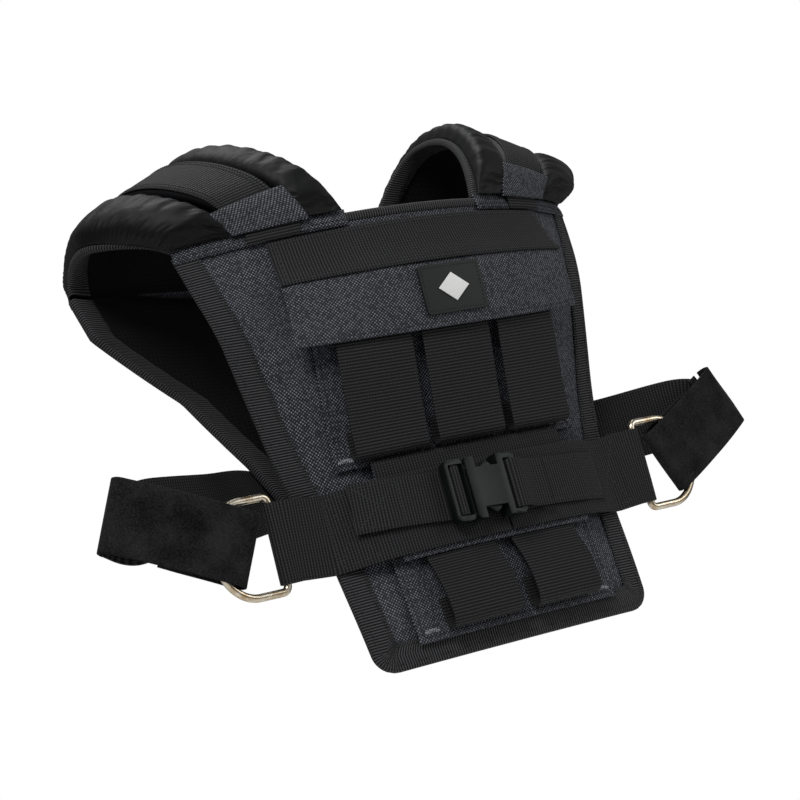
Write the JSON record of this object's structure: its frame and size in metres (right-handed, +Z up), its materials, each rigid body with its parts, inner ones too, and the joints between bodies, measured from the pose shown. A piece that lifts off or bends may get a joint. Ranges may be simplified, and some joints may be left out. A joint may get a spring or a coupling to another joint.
{
  "type": "padded vest with a buckled belt",
  "caption": "Padded black field vest with arched shoulder pads, webbing loops under a flap, side straps on D-rings and a belt with a side-release buckle.",
  "frame": {"origin": "the spot between the wearer's shoulders, on the vest's middle plane and level with the undersides of the shoulder pads", "axes": "+X runs across the vest, to the right as its front is looked at; +Y runs from the front panel to the back panel; +Z is up"},
  "size_m": [0.6092, 0.2112, 0.432],
  "materials": {
    "oxford": "matt coated oxford weave",
    "mesh_lining": "knitted spacer mesh",
    "foam": "closed-cell foam, sewn in",
    "binding_tape": "ribbed polyester tape",
    "satin_nylon": "smooth nylon with a soft sheen",
    "webbing": "ribbed polyester webbing",
    "velour": "brushed velour, deep matt",
    "patch_rubber": "moulded soft rubber",
    "mark_white": "inlaid pale rubber",
    "ring_brass": "bright yellow-plated wire",
    "buckle_plastic": "satin moulded acetal"
  },
  "bodies": {
    "vest": {"front_cover": "oxford", "front_lining": "mesh_lining", "front_foam": "foam", "front_binding": "binding_tape", "back_cover": "oxford", "back_lining": "mesh_lining", "back_foam": "foam", "back_binding": "binding_tape", "shoulder_left_base": "oxford", "shoulder_left_neck_roll": "satin_nylon", "shoulder_left_outer_roll": "satin_nylon", "shoulder_left_channel": "satin_nylon", "shoulder_left_webbing": "webbing", "shoulder_right_base": "oxford", "shoulder_right_neck_roll": "satin_nylon", "shoulder_right_outer_roll": "satin_nylon", "shoulder_right_channel": "satin_nylon", "shoulder_right_webbing": "webbing", "upper_pocket": "oxford", "upper_loop_1": "webbing", "upper_loop_2": "webbing", "upper_loop_3": "webbing", "lower_pocket": "oxford", "lower_loop_1": "webbing", "lower_loop_2": "webbing", "lower_flap": "oxford", "lower_flap_strip": "webbing", "back_band": "webbing", "side_strap_left": "velour", "side_strap_right": "velour", "belt_right": "webbing", "tab_right": "webbing", "buckle_female": "buckle_plastic"},
    "upper_flap": {"upper_flap": "oxford", "upper_flap_strip": "webbing", "label_patch": "patch_rubber", "label_mark": "mark_white"},
    "belt_left": {"belt_left": "webbing", "tab_left": "webbing", "buckle_male": "buckle_plastic"},
    "prong_upper": {"prong_upper": "buckle_plastic"},
    "prong_lower": {"prong_lower": "buckle_plastic"},
    "ring_left": {"d_ring_left": "ring_brass", "strap_end_left": "velour"},
    "ring_right": {"d_ring_right": "ring_brass", "strap_end_right": "velour"}
  },
  "joints": [
    {"name": "upper_flap_lift", "type": "hinge", "parent": "vest", "child": "upper_flap", "pos_m": [0, -0.111, -0.0532], "axis": [-1, 0, 0], "range_deg": [0, 100]},
    {"name": "buckle_release", "type": "slide", "parent": "vest", "child": "belt_left", "axis": [-0.9984, 0.0132, 0.0555], "range_m": [0, 0.03]},
    {"name": "prong_upper_squeeze", "type": "hinge", "parent": "belt_left", "child": "prong_upper", "pos_m": [-0.02576, -0.11685, -0.25161], "axis": [0, 0.9931, -0.1176], "range_deg": [0, 6], "stiffness_Nm_per_rad": 0.05},
    {"name": "prong_lower_squeeze", "type": "hinge", "parent": "belt_left", "child": "prong_lower", "pos_m": [-0.02735, -0.12009, -0.27914], "axis": [0, -0.9931, 0.1176], "range_deg": [0, 6], "stiffness_Nm_per_rad": 0.05},
    {"name": "ring_left_swing", "type": "hinge", "parent": "belt_left", "child": "ring_left", "pos_m": [-0.172, -0.08, -0.272], "axis": [0, 0, 1], "range_deg": [0, 25]},
    {"name": "ring_right_swing", "type": "hinge", "parent": "vest", "child": "ring_right", "pos_m": [0.172, -0.08, -0.272], "axis": [0, 0, 1], "range_deg": [-25, 0]}
  ]
}
